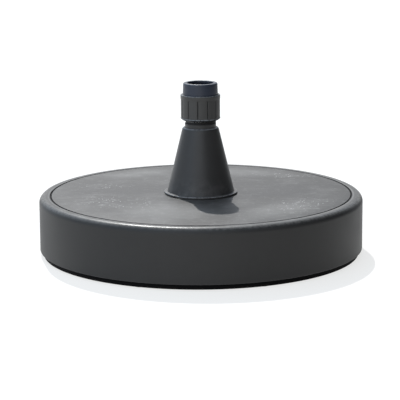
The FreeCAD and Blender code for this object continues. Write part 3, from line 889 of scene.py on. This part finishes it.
# ---- Foot pads ----
# Eight pads of black rubber, glued into recesses under the foot ring, that keep the base from
# sliding. Each has a ribbed face and a rounded rim.

pad_count = 8
for number in range(1, pad_count + 1):
    kept_shape("foot_pad_%d" % number, rubber)


# ---- Collet ----
# The slotted sleeve on the neck's rim whose eight fingers close on the pole. It is a softer
# unfilled nylon, so it is a little paler, and the pole has polished its bore.

collet_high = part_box("collet")[1]
collet_bore = 0.01953
collet_tint = (0.050, 0.050, 0.052, 1)
collet_worn_tone = (0.20, 0.20, 0.20, 1)

collet_plastic, tree, shader, place, skin = moulded_plastic(
    "collet_nylon", Tint=collet_tint, Shine=0.46, Grain=1600.0, Depth_mm=0.012, Clouds=0.10)
radius = around(tree, place)[0]
lips = edge_wear_and_highlight_mask(tree, place, collet_bore, collet_high.z, width=0.0025, breaks=220.0)
polished = remap(tree, radius, collet_bore + 0.0006, collet_bore + 0.0001)
finish_with(tree, shader, layered(tree, skin["Color"], (lips, 0.5, collet_worn_tone)),
            summed(tree, skin["Roughness"], (polished, -0.16)), skin["Height mm"])
kept_shape("collet", collet_plastic)


# ---- Pressure collar ----
# The nose above the nut: a smooth slate-blue moulding with a wedge inside. The nut pushes it
# down over the collet without turning it, by the flange that the nut's pocket traps.

collar_low, collar_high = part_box("pressure_collar")
nut_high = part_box("clamping_nut")[1]
collar_radius = 0.027
collar_draft = 0.0006
collar_draft_left = 0.00012
collar_flange = 0.0015
collar_flange_height = 0.003
collar_round = 0.0022
throat_radius = 0.0245
throat_length = 0.007
wedge_radius = 0.02105
mouth_radius = 0.02025
mouth_length = 0.003
mouth_round = 0.0008
collar_segments = 144
collar_tint = (0.023, 0.030, 0.050, 1)
collar_highlight_tone = (0.15, 0.17, 0.20, 1)

collar_plastic, tree, shader, place, skin = moulded_plastic(
    "slate_collar", Tint=collar_tint, Shine=0.40, Grain=2100.0, Depth_mm=0.008, Clouds=0.12)
# Painted highlights: pale bluish lines round the nose's top edge and its mouth.
brow = edge_wear_and_highlight_mask(tree, place, collar_radius - 0.0015, collar_high.z - 0.0006,
                width=0.0022, breaks=120.0)
mouth = edge_wear_and_highlight_mask(tree, place, mouth_radius, collar_high.z, width=0.0025, breaks=200.0)
collar_rim_highlight = maths(tree, "MAXIMUM", brow, mouth)
finish_with(tree, shader, layered(tree, skin["Color"], (collar_rim_highlight, 0.30, collar_highlight_tone)),
            summed(tree, skin["Roughness"], (collar_rim_highlight, 0.12)), skin["Height mm"])

flange_edge = collar_radius + collar_flange
flange_face = collar_low.z + collar_flange_height
top_radius = collar_radius - collar_draft
collar_outline = [(throat_radius, collar_low.z), (flange_edge, collar_low.z),
                  (flange_edge, flange_face), (collar_radius, flange_face),
                  (collar_radius, nut_high.z),
                  (top_radius + collar_draft_left, collar_high.z - collar_round - wall_hold)]
collar_outline += arc(top_radius - collar_round, collar_high.z - collar_round, collar_round,
                      0, 90, 9)
collar_outline += arc(mouth_radius + mouth_round, collar_high.z - mouth_round, mouth_round,
                      90, 180, 5)
collar_outline += [(mouth_radius, collar_high.z - mouth_length),
                   (wedge_radius, collar_high.z - mouth_length),
                   (throat_radius, collar_low.z + throat_length)]
collar = turned_piece("pressure_collar_finish", collar_outline, collar_segments, collar_plastic)
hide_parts("pressure_collar")
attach(collar, "collar")


# ---- Clamping nut ----
# The nut that a hand turns: a charcoal moulding with twelve narrow flutes between a band and a
# bead, a pocket for the collar's flange and one coarse inner thread. Pale lines on the band's
# top edge and the bead are painted highlights, the flutes are painted darker, and the foot is
# painted near black as the shade under the nut.

nut_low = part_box("clamping_nut")[0]
grip_radius = 0.0301
band_radius = 0.0305
band_height = 0.0065
band_round = 0.0008
band_hold = 0.0005
band_foot_round = 0.0002
bead_height = 0.0016
bead_round = 0.0004
foot_radius = 0.0274
foot_height = 0.0020
bore_radius = 0.0244
pocket_radius = 0.0288
pocket_low = 0.2395
lip_low = 0.2429
lip_radius = 0.0273
flute_count = 12
flute_radius = 0.0009
flute_start = math.radians(-98)
flute_gap = 0.0008
flute_rows = 6
flute_end = 0.0001
skin_tolerance = 0.0002
crest_radius = 0.0233
nut_pitch = 0.004
nut_ridge_start = 0.00664
nut_ridge_turns = 5.5
nut_ridge_embedded = 0.0003
nut_ridge_root = 0.00204
nut_ridge_crest = 0.00096
nut_segments = 480
nut_ridge_segments = 400
nut_sharp = 28.0

nut_tint = (0.056, 0.053, 0.049, 1)
flute_darkening_tone = (0.010, 0.010, 0.010, 1)
nut_highlight_tone = (0.35, 0.37, 0.39, 1)
foot_under_nut_shade_tone = (0.004, 0.004, 0.004, 1)


def flutes_tree():
    """Geometry Nodes that press round flutes into a turned skin, between two heights."""
    tree, given, result = node_group(
        "flutes", "GeometryNodeTree",
        {"Turned": "Geometry", "Count": "Int", "Flute Radius": "Float", "Skin Radius": "Float",
         "Low": "Float", "High": "Float", "Finish": "Material"}, {"Fluted": "Geometry"})
    place = node(tree, "GeometryNodeInputPosition").outputs[0]
    x, y, z = node(tree, "ShaderNodeSeparateXYZ", {0: place}).outputs
    flat = node(tree, "ShaderNodeCombineXYZ", {0: x, 1: y}).outputs[0]
    radius = length(tree, flat)
    share = maths(tree, "DIVIDE", maths(tree, "ARCTAN2", y, x), math.tau)
    share = maths(tree, "MULTIPLY", share, given["Count"])
    share = maths(tree, "SUBTRACT", share, maths(tree, "ROUND", share))
    aside = maths(tree, "DIVIDE", maths(tree, "MULTIPLY", share, math.tau), given["Count"])
    aside = maths(tree, "MULTIPLY", aside, radius)
    reach = maths(tree, "SUBTRACT", maths(tree, "POWER", given["Flute Radius"], 2.0),
                  maths(tree, "POWER", maths(tree, "ABSOLUTE", aside), 2.0))
    depth = maths(tree, "SQRT", maths(tree, "MAXIMUM", reach, 0.0))
    above = maths(tree, "GREATER_THAN", z, given["Low"])
    below = maths(tree, "LESS_THAN", z, given["High"])
    on_skin = maths(tree, "COMPARE", radius, given["Skin Radius"], skin_tolerance)
    chosen = maths(tree, "MULTIPLY", maths(tree, "MULTIPLY", above, below), on_skin)
    inward = maths(tree, "DIVIDE", maths(tree, "MULTIPLY", depth, chosen), radius)
    pull = node(tree, "ShaderNodeVectorMath", {0: flat, 3: maths(tree, "MULTIPLY", inward, -1.0)},
                operation="SCALE")
    moved = node(tree, "GeometryNodeSetPosition", {"Geometry": given["Turned"],
                                                   "Offset": pull.outputs[0]})
    put_out(tree, moved.outputs[0], given["Finish"], result["Fluted"])
    return tree


nut_plastic, tree, shader, place, skin = moulded_plastic(
    "charcoal_nut", Tint=nut_tint, Shine=0.42, Grain=1700.0, Depth_mm=0.015, Clouds=0.12)
radius, up = around(tree, place)
foot_top = nut_low.z + foot_height
# Painted highlights: pale lines along the bead and round the band's top edge.
bead = edge_wear_and_highlight_mask(tree, place, band_radius, foot_top + 0.0006, width=0.0014, breaks=420.0)
brow = edge_wear_and_highlight_mask(tree, place, band_radius - 0.001, nut_high.z, width=0.0020, breaks=300.0)
# The flutes are painted darker.
hollow = remap(tree, radius, grip_radius - 0.0001, grip_radius - 0.0007)
outer_skin = maths(tree, "GREATER_THAN", radius, pocket_radius + 0.0002)
flute_darkening = maths(tree, "MULTIPLY", hollow, outer_skin)
# Painted shade: the nut's foot, under the bead, is painted near black.
foot = remap(tree, up, foot_top, foot_top - 0.0003)
color = layered(tree, skin["Color"], (flute_darkening, 0.5, flute_darkening_tone),
                (maths(tree, "MAXIMUM", bead, brow), 0.85, nut_highlight_tone),
                (foot, 0.9, foot_under_nut_shade_tone))
rough = summed(tree, skin["Roughness"], (flute_darkening, 0.3), (foot, 0.55))
finish_with(tree, shader, color, maths(tree, "MINIMUM", rough, 1.0), skin["Height mm"])

grip_low = foot_top + bead_height
grip_high = nut_high.z - band_height
flute_low = grip_low + flute_gap
flute_high = grip_high - flute_gap
bead_middle = band_radius - bead_round
nut_outline = [(bore_radius, nut_low.z), (foot_radius, nut_low.z)]
nut_outline += arc(bead_middle, foot_top + bead_round, bead_round, -60, 0, 3)
nut_outline += arc(bead_middle, grip_low - bead_round, bead_round, 0, 75, 3)
nut_outline += [(grip_radius, grip_low), (grip_radius, flute_low - flute_end),
                (grip_radius, flute_low + flute_end)]
nut_outline += [(grip_radius, flute_low + (flute_high - flute_low) * step / flute_rows)
                for step in range(1, flute_rows)]
nut_outline += [(grip_radius, flute_high - flute_end), (grip_radius, flute_high + flute_end),
                (grip_radius, grip_high)]
nut_outline += arc(band_radius - band_foot_round, grip_high + band_foot_round, band_foot_round,
                   -60, 0, 2)
nut_outline += [(band_radius, nut_high.z - band_round - band_hold)]
nut_outline += arc(band_radius - band_round, nut_high.z - band_round, band_round, 0, 90, 6)
nut_outline += [(lip_radius, nut_high.z), (lip_radius, lip_low), (pocket_radius, lip_low),
                (pocket_radius, pocket_low), (bore_radius, pocket_low)]
nut = turned_piece("clamping_nut_finish", nut_outline, nut_segments, nut_plastic)
worked(nut, flutes_tree(), {"Count": flute_count, "Flute Radius": flute_radius,
                            "Skin Radius": grip_radius, "Low": flute_low, "High": flute_high,
                            "Finish": nut_plastic})
nut.data.transform(Matrix.Rotation(flute_start, 4, "Z"))
outward(nut.data, nut_sharp)

ridge_low = nut_low.z + nut_ridge_start
ridge_wall = bore_radius + nut_ridge_embedded
nut_ridge_outline = [(ridge_wall, ridge_low - nut_ridge_root / 2),
                     (ridge_wall, ridge_low + nut_ridge_root / 2),
                     (crest_radius, ridge_low + nut_ridge_crest / 2),
                     (crest_radius, ridge_low - nut_ridge_crest / 2)]
nut_ridge = turned_piece("nut_ridge", nut_ridge_outline, nut_ridge_segments, nut_plastic,
                         nut_ridge_turns, nut_pitch)
joined(nut, nut_ridge)
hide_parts("clamping_nut")
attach(nut, "nut")
